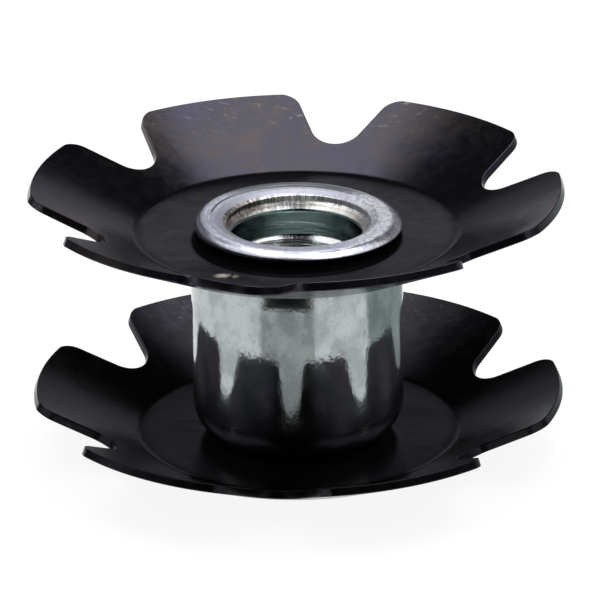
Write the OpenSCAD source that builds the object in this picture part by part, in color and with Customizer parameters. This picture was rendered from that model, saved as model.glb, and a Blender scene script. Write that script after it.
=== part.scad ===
// Star nut for the steerer tube of a bicycle fork.
// Two sprung steel stars are riveted onto the ends of a threaded barrel.
// Their petals flare upwards and bite into the tube, so that the nut can't be pulled out.
// Millimetres, +Z up along the bore, origin at the middle of the face that it stands on.

/* [Stars] */
// Diameter over the petals, at their outermost edge
star_d = 24.9; // [20.7:0.1:32]
// Diameter of the flat middle of a star, at the bend
flat_d = 15.1; // [12.5:0.1:18.2]
// Thickness of the sprung sheet
sheet_t = 0.4; // [0.3:0.01:0.8]
// Angle at which the petals rise from the flat middle
flare_angle = 25.7; // [15:0.1:35]
// Radius inside the bend, on the upper face
bend_r = 0.8; // [0.4:0.1:1.5]
// Number of petals
petals = 6; // [5:1:7]
// Width of a petal, whose two sides are parallel
petal_w = 8; // [6.8:0.1:9.6]
// Radius at the root of the gap between two petals
gap_root_r = 1.28; // [0.8:0.01:1.6]
// Radius of a petal's outer corners
petal_corner_r = 1.06; // [0.7:0.01:1.4]
// Turn of the lower star against the upper one, in degrees
lower_star_turn = 5.2; // [0:0.1:30]

/* [Barrel] */
// Outer diameter between the stars
barrel_d = 9.9; // [8:0.1:12]
// Length between the stars
barrel_len = 9.55; // [7:0.05:14]
// Height of the rounded shoulder at each end
shoulder_h = 1.6; // [1:0.1:2.5]
// Diameter of the neck that passes through each star
neck_d = 7.4; // [6.9:0.1:8.9]
// Gap all round between a neck and its star
neck_clearance = 0.05; // [0.02:0.01:0.15]
// Width of the flat seat that carries each star
seat_w = 0.18; // [0.1:0.01:0.22]

/* [Rolled rims] */
// Outer diameter of the rim that is rolled over each star
rim_d = 9.64; // [8.4:0.01:11.7]
// Height of a rim above its star
rim_h = 0.6; // [0.45:0.01:0.75]
// Width of the flat crown of a rim
crown_w = 0.8; // [0.3:0.01:1.1]
// Wall of the neck at the lip inside a rim
lip_wall = 0.34; // [0.25:0.01:0.45]
// Drop from the crown to the lip
lip_drop = 0.2; // [0.1:0.01:0.3]
// Height of the upright wall beneath the lip
lip_h = 0.25; // [0.1:0.01:0.4]

/* [Thread] */
// Inner diameter of the M6 thread, over its crests
bore_d = 5; // [4.2:0.1:5.8]
// Diameter of the counterbore above the thread
counterbore_d = 6; // [5.6:0.1:6.4]
// Depth of the counterbore below the lip
counterbore_h = 1.8; // [1:0.1:2.2]

/* [Hidden] */
$fn = 96;

// Heights of the stack, from the face that the nut stands on
lower_star_z = rim_h;
barrel_z = lower_star_z + sheet_t;
upper_star_z = barrel_z + barrel_len;

// Radii of the barrel, from the outside to the bore
barrel_r = barrel_d / 2;
neck_r = neck_d / 2;
star_hole_r = neck_r + neck_clearance;
seat_r = star_hole_r + seat_w;
lip_r = neck_r - lip_wall;
bore_r = bore_d / 2;
counterbore_r = counterbore_d / 2;

// The shoulder is an arc that leaves the side of the barrel smoothly and ends at the seat
shoulder_run = barrel_r - seat_r;
shoulder_r = (pow(shoulder_run, 2) + pow(shoulder_h, 2)) / (2 * shoulder_run);

// The rim has a full round edge and a flat crown.
// The crown gives way where it would leave no bevel between itself and the lip.
bevel_min_w = 0.1;
rim_edge_r = rim_h / 2;
rim_flat_r = rim_d / 2 - rim_edge_r;
crown_r = max(rim_flat_r - crown_w, lip_r + bevel_min_w);

// Section of a star: the flat middle, the bend, and the flare with its end square to the sheet
flat_r = flat_d / 2;
bend_x = flat_r - bend_r * tan(flare_angle / 2);
top_edge_r = star_d / 2 - sheet_t * sin(flare_angle);
flare_len = (top_edge_r - bend_x - bend_r * sin(flare_angle)) / cos(flare_angle);

// The petals are laid out on the flare's upper face, unrolled flat about the tip of its cone
tip_drop = flat_r * tan(flare_angle);
rim_slant = top_edge_r / cos(flare_angle);
half_pitch = 180 / petals * cos(flare_angle);
side_y = -petal_w / 2;
root_y = side_y - gap_root_r;
root_x = -root_y / tan(half_pitch);
root_slant = -root_y / sin(half_pitch);

// A corner is rounded by its own radius, or by less where a short petal has no room for that
corner_room = (pow(rim_slant, 2) - pow(root_slant, 2) + gap_root_r * (petal_w + gap_root_r))
    / (2 * rim_slant - petal_w);
corner_r = min(petal_corner_r, 0.9 * corner_room);
// The rounding crosses the end of the petal at a slight angle, which keeps the cut clean
corner_cross = 0.02;
corner_y = side_y + corner_r;
corner_x = sqrt(pow(rim_slant - corner_r + corner_cross, 2) - pow(corner_y, 2));

// Reach of the cuts past the sheet, outwards and to each side of it
cut_past = 2;
cut_slant = rim_slant + cut_past;

// One end of the barrel's section, outside the seat: the neck and the rim rolled over the star
module rim_section() {
    square([neck_r, sheet_t + rim_h]);
    translate([0, sheet_t]) square([rim_flat_r, rim_h]);
    translate([rim_flat_r, sheet_t + rim_edge_r]) circle(rim_edge_r);
}

// The mouth of the bore, measured down from the crown: the bevel, the lip's upright wall, then
// the counterbore between a chamfer at the lip and a chamfer at the thread, both at 45 degrees
module mouth_section() {
    chamfer_start = lip_drop + lip_h;
    chamfer_end = chamfer_start + lip_r - counterbore_r;
    counterbore_end = lip_drop + counterbore_h;
    thread_start = counterbore_end + counterbore_r - bore_r;
    polygon([
        [0, cut_past],
        [crown_r, cut_past],
        [crown_r, 0],
        [lip_r, -lip_drop],
        [lip_r, -chamfer_start],
        [counterbore_r, -chamfer_end],
        [counterbore_r, -counterbore_end],
        [bore_r, -thread_start],
        [0, -thread_start]
    ]);
}

// What the shoulder takes off the corner of the barrel, from the middle of its arc
module shoulder_cut() {
    difference() {
        square(shoulder_r + cut_past);
        circle(shoulder_r);
    }
}

// Upper half of the barrel's section, from the middle of its length
module half_barrel_section() {
    half_len = barrel_len / 2;
    crown_z = half_len + sheet_t + rim_h;
    difference() {
        union() {
            difference() {
                square([barrel_r, half_len]);
                translate([barrel_r - shoulder_r, half_len - shoulder_h]) shoulder_cut();
            }
            translate([0, half_len]) rim_section();
        }
        translate([0, crown_z]) mouth_section();
        square([bore_r, crown_z]);
    }
}

module threaded_barrel() {
    color("silver")
        translate([0, 0, barrel_z + barrel_len / 2])
            rotate_extrude() {
                half_barrel_section();
                mirror([0, 1]) half_barrel_section();
            }
}

// Section of the formed sheet, its lower face at height 0
module sheet_section() {
    outer_bend_r = bend_r + sheet_t;
    translate([star_hole_r, 0]) square([bend_x - star_hole_r, sheet_t]);
    translate([bend_x, outer_bend_r]) {
        difference() {
            circle(outer_bend_r);
            circle(bend_r);
            translate([-2 * outer_bend_r, -outer_bend_r]) square(2 * outer_bend_r);
            rotate(flare_angle) translate([0, -2 * outer_bend_r]) square(4 * outer_bend_r);
        }
        rotate(flare_angle) translate([0, -outer_bend_r]) square([flare_len, sheet_t]);
    }
}

// One side of a gap, in line with the petal beside it: the straight side and the rounded corner.
// It reaches past the middle of the gap, so that the two sides overlap.
module gap_side() {
    past_middle = gap_root_r / 2;
    corner_reach = cut_slant / norm([corner_x, corner_y]);
    polygon([
        [root_x, root_y - past_middle],
        [root_x, side_y],
        [cut_slant, side_y],
        [cut_slant, -cut_slant * tan(half_pitch) - past_middle]
    ]);
    difference() {
        polygon([
            [corner_x, corner_y],
            [corner_x, side_y],
            [cut_slant, side_y],
            corner_reach * [corner_x, corner_y]
        ]);
        translate([corner_x, corner_y]) circle(corner_r);
    }
}

// Outline of a gap on the unrolled flare, with its middle along +X
module gap_outline() {
    translate([root_slant, 0]) circle(gap_root_r);
    rotate(half_pitch) gap_side();
    mirror([0, 1]) rotate(half_pitch) gap_side();
}

// A star with its lower face at height 0 and a petal along +X
module star() {
    difference() {
        rotate_extrude() sheet_section();
        for (gap = [0 : petals - 1])
            rotate((gap + 0.5) * 360 / petals)
                translate([0, 0, sheet_t - tip_drop])
                    rotate([0, -flare_angle, 0])
                        translate([0, 0, -cut_past])
                            linear_extrude(2 * cut_past) gap_outline();
    }
}

module upper_star() {
    color("#2b2b2e") translate([0, 0, upper_star_z]) star();
}

module lower_star() {
    color("#242427") translate([0, 0, lower_star_z]) rotate(lower_star_turn) star();
}

threaded_barrel();
upper_star();
lower_star();
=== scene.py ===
"""Star nut for the steerer tube of a bicycle fork: the visual model and its studio.

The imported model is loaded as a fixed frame, in metres, with +Z up along the bore.  A threaded
barrel and two sprung stars replace its three solids.  Sizes below are written in millimetres.
"""

import logging
import math
from dataclasses import dataclass, field
from enum import Enum

import bpy
import numpy as np
from mathutils import Matrix, Vector


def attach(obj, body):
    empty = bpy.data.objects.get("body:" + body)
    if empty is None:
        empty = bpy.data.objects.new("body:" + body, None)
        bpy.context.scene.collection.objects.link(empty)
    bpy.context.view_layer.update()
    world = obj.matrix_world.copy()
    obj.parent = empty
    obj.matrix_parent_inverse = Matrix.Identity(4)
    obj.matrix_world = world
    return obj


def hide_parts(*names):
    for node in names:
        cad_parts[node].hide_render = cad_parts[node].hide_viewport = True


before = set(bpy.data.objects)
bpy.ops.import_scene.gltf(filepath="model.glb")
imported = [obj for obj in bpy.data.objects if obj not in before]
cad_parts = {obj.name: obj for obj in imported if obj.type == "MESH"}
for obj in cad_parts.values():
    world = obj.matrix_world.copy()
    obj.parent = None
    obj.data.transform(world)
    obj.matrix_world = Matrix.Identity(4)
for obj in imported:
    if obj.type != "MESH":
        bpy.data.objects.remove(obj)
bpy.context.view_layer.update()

LOG = logging.getLogger("star_nut")
MM = 0.001

Socket = bpy.types.NodeSocket
Number = Socket | float
Colour = tuple[float, float, float, float]
Range = tuple[float, float]
Point = tuple[float, float, float]

WHITE: Colour = (1.0, 1.0, 1.0, 1.0)
BLACK: Colour = (0.0, 0.0, 0.0, 1.0)


class Slot(str, Enum):
    """Names of the material slots."""

    ZINC_PLATE = "zinc_plate"
    BLACK_SPRING_STEEL = "black_spring_steel"


class Node(str, Enum):
    """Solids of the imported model, each replaced by one piece."""

    THREADED_BARREL = "threaded_barrel"
    UPPER_STAR = "upper_star"
    LOWER_STAR = "lower_star"


# ---------------------------------------------------------------- meshes


@dataclass
class Surface:
    """A mesh under construction, in millimetres.

    Attributes:
        points: Corner positions.
        faces: Corner indices of each face.
        normals: Shading normal of each corner, or nothing to let Blender work them out.
    """

    points: list[Point] = field(default_factory=list)
    faces: list[tuple[int, ...]] = field(default_factory=list)
    normals: list[Point] = field(default_factory=list)

    def add(self, point: np.ndarray, normal: np.ndarray | None = None) -> int:
        """Adds a corner.

        Args:
            point: Its position.
            normal: Its shading normal, if the surface carries its own.

        Returns:
            The index of the corner.
        """
        self.points.append(tuple(float(value) for value in point))
        if normal is not None:
            self.normals.append(tuple(float(value) for value in normal))
        return len(self.points) - 1

    def face(self, *corners: int) -> None:
        """Adds a face, and leaves out corners that repeat, so that it may close to a triangle.

        Args:
            corners: Indices of the corners, counterclockwise from outside.
        """
        kept = [c for i, c in enumerate(corners) if c != corners[i - 1]]
        if len(set(kept)) >= 3:
            self.faces.append(tuple(kept))

    def bridge(self, lower: list[int], upper: list[int], closed: bool = False) -> None:
        """Joins two rows of corners with quads.

        Args:
            lower: Corners of the first row.
            upper: Corners of the second row, on the left when walking along the first.
            closed: Whether the last pair also joins the first.
        """
        count = len(lower)
        for i in range(count if closed else count - 1):
            j = (i + 1) % count
            self.face(lower[i], lower[j], upper[j], upper[i])

    def to_object(self, name: str) -> bpy.types.Object:
        """Makes the Blender object, in metres, with smooth shading.

        Args:
            name: Name of the piece.

        Returns:
            The object, linked to the scene.
        """
        mesh = bpy.data.meshes.new(name)
        mesh.from_pydata([tuple(MM * value for value in p) for p in self.points], [], self.faces)
        mesh.validate()
        mesh.shade_smooth()
        if self.normals:
            mesh.normals_split_custom_set_from_vertices(self.normals)
        mesh.update()
        piece = bpy.data.objects.new(name, mesh)
        bpy.context.scene.collection.objects.link(piece)
        return piece


def fillet(before: Range, corner: Range, after: Range, radius: float, steps: int = 5) -> list[Range]:
    """Rounds a corner of a section.

    Args:
        before: Point that the section comes from.
        corner: The sharp corner.
        after: Point that the section goes to.
        radius: Radius of the rounding.
        steps: Points along the rounding, less one.

    Returns:
        Points of the rounding, from the first leg to the second.
    """
    c = np.array(corner)
    leg_a = np.array(before) - c
    leg_b = np.array(after) - c
    leg_a /= np.linalg.norm(leg_a)
    leg_b /= np.linalg.norm(leg_b)
    half = math.acos(float(np.clip(leg_a @ leg_b, -1, 1))) / 2
    centre = c + (leg_a + leg_b) / np.linalg.norm(leg_a + leg_b) * radius / math.sin(half)
    start = c + leg_a * radius / math.tan(half) - centre
    end = c + leg_b * radius / math.tan(half) - centre
    turn = math.atan2(start[0] * end[1] - start[1] * end[0], float(start @ end))
    first = math.atan2(start[1], start[0])
    angles = [first + turn * i / steps for i in range(steps + 1)]
    return [(centre[0] + radius * math.cos(a), centre[1] + radius * math.sin(a)) for a in angles]


# ---------------------------------------------------------------- finishes


class Graph:
    """The node tree of one material or world, built one named node at a time."""

    def __init__(self, tree: bpy.types.NodeTree) -> None:
        """Empties the tree.

        Args:
            tree: Node tree to build in.
        """
        self.tree = tree
        tree.nodes.clear()
        self.column = 0

    def node(self, kind: str, label: str = "", **settings: object) -> bpy.types.Node:
        """Adds a node.

        Args:
            kind: Blender's type of the node, without the ShaderNode prefix.
            label: What the node is for.
            settings: Properties to set on it.

        Returns:
            The node.
        """
        made = self.tree.nodes.new("ShaderNode" + kind)
        made.label = label
        made.location = (self.column * 220, 0)
        self.column += 1
        for name, value in settings.items():
            setattr(made, name, value)
        return made

    def join(self, source: Number | tuple, target: Socket) -> None:
        """Links a socket to another one, or sets a plain value on it.

        Args:
            source: Output socket, number or colour.
            target: Input socket.
        """
        if isinstance(source, Socket):
            self.tree.links.new(source, target)
        else:
            target.default_value = source

    def maths(self, operation: str, *inputs: Number) -> Socket:
        """Adds a Math node.

        Args:
            operation: Blender's name of the operation.
            inputs: Its inputs, in order.

        Returns:
            The result.
        """
        made = self.node("Math", operation=operation)
        for source, target in zip(inputs, made.inputs):
            self.join(source, target)
        return made.outputs[0]

    def product(self, first: Number, second: Number) -> Socket:
        """Multiplies two numbers."""
        return self.maths("MULTIPLY", first, second)

    def larger(self, first: Number, second: Number) -> Socket:
        """Picks the larger of two numbers."""
        return self.maths("MAXIMUM", first, second)

    def band(self, value: Socket, low: float, high: float,
             to_low: Number = 0.0, to_high: float = 1.0) -> Socket:
        """Maps a range of a value to another range, smoothly and with clamped ends.

        Args:
            value: The value.
            low: Start of its range.
            high: End of its range.
            to_low: Result at the start.
            to_high: Result at the end.

        Returns:
            The mapped value.
        """
        made = self.node("MapRange", interpolation_type="SMOOTHSTEP")
        for source, name in ((value, "Value"), (low, "From Min"), (high, "From Max"),
                             (to_low, "To Min"), (to_high, "To Max")):
            self.join(source, made.inputs[name])
        return made.outputs[0]

    def blend(self, share: Number, first: Socket | Colour, second: Socket | Colour) -> Socket:
        """Mixes two colours.

        Args:
            share: Share of the second one.
            first: First colour.
            second: Second colour.

        Returns:
            The mixed colour.
        """
        made = self.node("Mix", data_type="RGBA", clamp_factor=True)
        self.join(share, made.inputs[0])
        self.join(first, made.inputs[6])
        self.join(second, made.inputs[7])
        return made.outputs[2]

    def millimetres(self) -> Socket:
        """Adds object coordinates in millimetres.

        Returns:
            The position as a vector.
        """
        place = self.node("TexCoord", "position")
        scale = self.node("VectorMath", "to millimetres", operation="SCALE")
        self.join(place.outputs["Object"], scale.inputs[0])
        scale.inputs["Scale"].default_value = 1 / MM
        return scale.outputs[0]

    def stretched(self, place: Socket, scale: Point, turn: Point = (0.0, 0.0, 0.0)) -> Socket:
        """Turns and stretches coordinates.

        Args:
            place: Coordinates.
            scale: Scale along each axis.
            turn: Rotation about each axis, in degrees.

        Returns:
            The new coordinates.
        """
        made = self.node("Mapping", vector_type="POINT")
        self.join(place, made.inputs["Vector"])
        made.inputs["Rotation"].default_value = [math.radians(value) for value in turn]
        made.inputs["Scale"].default_value = scale
        return made.outputs[0]

    def noise(self, place: Socket, scale: float, detail: float = 3.0,
              rough: float = 0.5, warp: float = 0.0) -> Socket:
        """Adds a noise texture.

        Args:
            place: Coordinates.
            scale: Features per unit of the coordinates.
            detail: Octaves.
            rough: Share of the finer octaves.
            warp: Distortion.

        Returns:
            The noise, around one half.
        """
        made = self.node("TexNoise")
        self.join(place, made.inputs["Vector"])
        for name, value in (("Scale", scale), ("Detail", detail), ("Roughness", rough),
                            ("Distortion", warp)):
            made.inputs[name].default_value = value
        return made.outputs["Fac"]

    def mix(self, share: Number, first: Number, second: Number) -> Socket:
        """Mixes two numbers.

        Args:
            share: Share of the second one.
            first: First number.
            second: Second number.

        Returns:
            The mixed number.
        """
        made = self.node("Mix", data_type="FLOAT", clamp_factor=True)
        self.join(share, made.inputs[0])
        self.join(first, made.inputs[2])
        self.join(second, made.inputs[3])
        return made.outputs[0]

    def line(self, value: Socket, at: float, half_width: float) -> Socket:
        """Picks out a narrow line where a value passes a number.

        Args:
            value: The value.
            at: The number.
            half_width: Distance from it at which the line has faded out.

        Returns:
            One on the line, falling to zero beside it.
        """
        off = self.maths("ABSOLUTE", self.maths("SUBTRACT", value, at))
        return self.band(off, half_width, 0.3 * half_width)

    def sector(self, turn: Socket, middle: float, half_angle: float) -> Socket:
        """Picks out a sector about the bore.

        Args:
            turn: Turn in radians.
            middle: Direction of its middle, in degrees from +X.
            half_angle: Half of its angle, in degrees.

        Returns:
            One inside the sector, zero outside it, with soft ends.
        """
        off = self.maths("COSINE", self.maths("SUBTRACT", turn, math.radians(middle)))
        ends = (math.cos(math.radians(half_angle * share)) for share in (1.3, 0.7))
        return self.band(off, *ends)

    def distance(self, place: Socket, point: Point) -> Socket:
        """Measures the distance from a point.

        Args:
            place: Position in millimetres.
            point: The point, in millimetres.

        Returns:
            The distance.
        """
        made = self.node("VectorMath", operation="DISTANCE")
        self.join(place, made.inputs[0])
        made.inputs[1].default_value = point
        return made.outputs["Value"]

    def spot(self, place: Socket, middle: Point, size: float) -> Socket:
        """Picks out a round spot.

        Args:
            place: Position in millimetres.
            middle: Its middle, in millimetres.
            size: Distance from the middle at which it has faded out.

        Returns:
            One in the middle, falling to zero.
        """
        return self.band(self.distance(place, middle), size, 0.3 * size)

    def round_area(self, place: Socket, middle: Range, reach: float, blur: float = 0.12) -> Socket:
        """Picks out a round area seen from above, whatever the height.

        Args:
            place: Position in millimetres.
            middle: Its middle, in millimetres.
            reach: Its radius, in millimetres.
            blur: Distance to each side of its edge over which it fades out.

        Returns:
            One inside the area, zero outside it.
        """
        level = self.stretched(place, (1.0, 1.0, 0.0))
        return self.band(self.distance(level, (*middle, 0.0)), reach + blur, reach - blur)

    def around_bore(self, place: Socket) -> tuple[Socket, ...]:
        """Splits a position into coordinates about the bore's axis.

        Args:
            place: Position in millimetres.

        Returns:
            Radius, turn in radians and height.
        """
        parts = self.node("SeparateXYZ")
        self.join(place, parts.inputs[0])
        x, y, z = parts.outputs
        radius = self.maths("SQRT", self.maths("ADD", self.product(x, x), self.product(y, y)))
        return radius, self.maths("ARCTAN2", y, x), z

    def wrapped(self, place: Socket, round_scale: float, length_scale: float) -> Socket:
        """Makes coordinates for marks that run round the bore or along it, without a seam.

        Args:
            place: Position in millimetres.
            round_scale: Scale round the bore.
            length_scale: Scale along the bore and across it.

        Returns:
            Coordinates on a unit circle, with radius plus height as the third.
        """
        radius, turn, height = self.around_bore(place)
        made = self.node("CombineXYZ")
        self.join(self.product(self.maths("COSINE", turn), round_scale), made.inputs[0])
        self.join(self.product(self.maths("SINE", turn), round_scale), made.inputs[1])
        self.join(self.product(self.maths("ADD", radius, height), length_scale), made.inputs[2])
        return made.outputs[0]

    def bump(self, height: Socket, depth: float, under: Socket | None = None) -> Socket:
        """Adds relief.

        Args:
            height: Height from 0 to 1.
            depth: Depth of the relief in millimetres.
            under: Normal of relief beneath it.

        Returns:
            The normal.
        """
        made = self.node("Bump")
        made.inputs["Strength"].default_value = 1.0
        made.inputs["Distance"].default_value = depth * MM
        self.join(height, made.inputs["Height"])
        if under is not None:
            self.join(under, made.inputs["Normal"])
        return made.outputs[0]

    def seen(self) -> Socket:
        """Picks out the rays from the camera, from glossy reflections and through glass.

        Returns:
            One for them, zero for the rays that carry light to matt surfaces.
        """
        rays = self.node("LightPath").outputs
        return self.larger(self.larger(rays["Is Camera Ray"], rays["Is Glossy Ray"]),
                           rays["Is Transmission Ray"])

    def matt(self, label: str, colour: Colour) -> Socket:
        """Adds a matt shader of one colour.

        Args:
            label: What the shader is for.
            colour: The colour.

        Returns:
            The shader's output.
        """
        shader = self.node("BsdfDiffuse", label)
        shader.inputs["Color"].default_value = colour
        return shader.outputs[0]

    def finish_metal(self, label: str, tone: Socket, rough: Socket, normal: Socket,
                     metal: float) -> bpy.types.Node:
        """Adds a metal's shader and joins it to the output.

        Args:
            label: What the shader is for.
            tone: Its colour.
            rough: Its roughness.
            normal: Its normal.
            metal: How metal-like it is, from 0 to 1.

        Returns:
            The shader.
        """
        shader = self.node("BsdfPrincipled", label)
        for source, name in ((tone, "Base Color"), (rough, "Roughness"), (normal, "Normal"),
                             (metal, "Metallic")):
            self.join(source, shader.inputs[name])
        self.finish(shader.outputs[0])
        return shader

    def finish(self, shader: Socket, output: str = "OutputMaterial") -> None:
        """Joins the last shader to the output.

        Args:
            shader: The shader.
            output: Blender's type of the output node, without the ShaderNode prefix.
        """
        self.join(shader, self.node(output).inputs["Surface"])


def new_material(name: str) -> tuple[bpy.types.Material, bpy.types.NodeTree]:
    """Makes an empty material.

    Args:
        name: Its name.

    Returns:
        The material and its node tree.
    """
    made = bpy.data.materials.new(name)
    made.use_nodes = True
    return made, made.node_tree


@dataclass(frozen=True)
class BarrelZones:
    """Where the parts of the barrel's surface lie, in millimetres.

    Attributes:
        bore_r: Radius inside which the surface is bore.
        mouth_r: Radius inside which a rim is mouth.
        roll_r: Radius outside which a rim is its burnished edge.
        middle_z: Height of the middle of the barrel.
        rim_z: Height above the middle at which a rim begins.
        thread_z: Height above the middle at which the thread ends.
    """

    bore_r: float
    mouth_r: float
    roll_r: float
    middle_z: float
    rim_z: float
    thread_z: float


@dataclass(frozen=True)
class ZincPlate:
    """Bright zinc plating: nearly polished on the barrel, dented and satin on the rims, teal in the bore.

    A side is a sector about the bore: the direction of its middle and half of its angle, in degrees.

    Attributes:
        colour: Colour of the plating.
        dull_colour: Colour of its duller patches.
        grime_and_shade_colour: Colour of grime, of pressed lines and of dark grains, and of the painted
            shade at the foot and on the wall beneath the lip and the painted dark reflection on the
            thread's chamfer.
        painted_glint_colour: Colour of the painted glints on the lower shoulder, which stand in for
            reflections in its rounding.
        painted_glints: Middle and size of each painted glint, in millimetres.
        rim_colour: Colour of the rolled rims.
        rim_dull_colour: Colour of their duller marks.
        rim_painted_light_colour: Colour of the painted light on their brighter side.
        painted_light_side: Where that side is.
        stain_colour: Colour of the stain on their crowns.
        stain_side: Where the stain is.
        painted_shade_colour: Colour of the painted shade beneath their outer edge.
        painted_shade_side: Where that painted shade is.
        mouth_colour: Colour of the torn skin on the chamfer.
        warm_colour: Its colour on the warm side.
        warm_side: Where the warm side is.
        clean_side: Where the tears hold less grime.
        bore_colour: Colour of the plating in the counterbore.
        thread_colour: Colour of the cut thread.
        painted_reflection_side: Where the thread's chamfer has a painted dark reflection.
        polish: Roughness of the brightest patches of the barrel.
        satin: Roughness of its dullest patches.
        shoulder_satin: Roughness of the upper shoulder and the foot.
        painted_glint_satin: Roughness of the painted glints.
        rim_satin: Roughness of the rolled rims.
        roll_polish: Roughness of their outer edge.
        mouth_satin: Roughness of the chamfer.
        bore_polish: Roughness in the bore.
        peel_depth: Relief of the drawn skin of the barrel, in millimetres, like all relief here.
        grain_depth: Relief of its finer grain.
        foot_grain: How much stronger the grain is at the foot.
        dent_depth: Relief of the dents on the rims.
        fine_depth: Relief of the finest dents.
        tick_depth: Relief of the tears on the chamfer.
        turned_depth: Relief of the turning marks.
        mark_depth: Relief of the pressed line and the groove.
        press_r: Radius of the line that the riveting punch left on the crown.
        press_side: Where that line is.
        edge_r: Radius of the groove beside the roll.
        groove_share: Strength of the groove beside that of the pressed line.
    """

    colour: Colour = (0.44, 0.475, 0.475, 1.0)
    dull_colour: Colour = (0.31, 0.35, 0.355, 1.0)
    grime_and_shade_colour: Colour = (0.16, 0.16, 0.17, 1.0)
    painted_glint_colour: Colour = (0.75, 0.74, 0.72, 1.0)
    painted_glints: tuple[tuple[Point, float], ...] = (
        ((-2.22, -4.37, 2.3), 0.5),
        ((3.70, -3.21, 2.35), 0.42),
    )
    rim_colour: Colour = (0.72, 0.73, 0.85, 1.0)
    rim_dull_colour: Colour = (0.38, 0.39, 0.45, 1.0)
    rim_painted_light_colour: Colour = (0.95, 0.96, 0.98, 1.0)
    painted_light_side: Range = (8.0, 46.0)
    stain_colour: Colour = (0.15, 0.165, 0.17, 1.0)
    stain_side: Range = (103.0, 46.0)
    painted_shade_colour: Colour = (0.012, 0.012, 0.014, 1.0)
    painted_shade_side: Range = (-78.8, 72.0)
    mouth_colour: Colour = (0.92, 0.90, 0.87, 1.0)
    warm_colour: Colour = (0.80, 0.73, 0.65, 1.0)
    warm_side: Range = (166.0, 36.0)
    clean_side: Range = (48.0, 44.0)
    bore_colour: Colour = (0.20, 0.265, 0.265, 1.0)
    thread_colour: Colour = (0.90, 0.94, 0.93, 1.0)
    painted_reflection_side: Range = (101.0, 15.0)
    polish: float = 0.07
    satin: float = 0.14
    shoulder_satin: float = 0.2
    painted_glint_satin: float = 0.38
    rim_satin: float = 0.57
    roll_polish: float = 0.28
    mouth_satin: float = 0.30
    bore_polish: float = 0.12
    peel_depth: float = 0.010
    grain_depth: float = 0.005
    foot_grain: float = 2.2
    dent_depth: float = 0.022
    fine_depth: float = 0.004
    tick_depth: float = 0.016
    turned_depth: float = 0.006
    mark_depth: float = 0.015
    press_r: float = 3.98
    press_side: Range = (166.5, 17.0)
    edge_r: float = 4.52
    groove_share: float = 0.55

    def material(self, zones: BarrelZones) -> bpy.types.Material:
        """Makes the material.

        Args:
            zones: Where the parts of the barrel lie.

        Returns:
            The material.
        """
        made, tree = new_material("zinc_plate")
        coat = ZincCoat(tree, self, zones)
        coat.finish_metal("zinc plate", coat.tone(), coat.roughness(), coat.relief(), 1.0)
        return made


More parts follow.
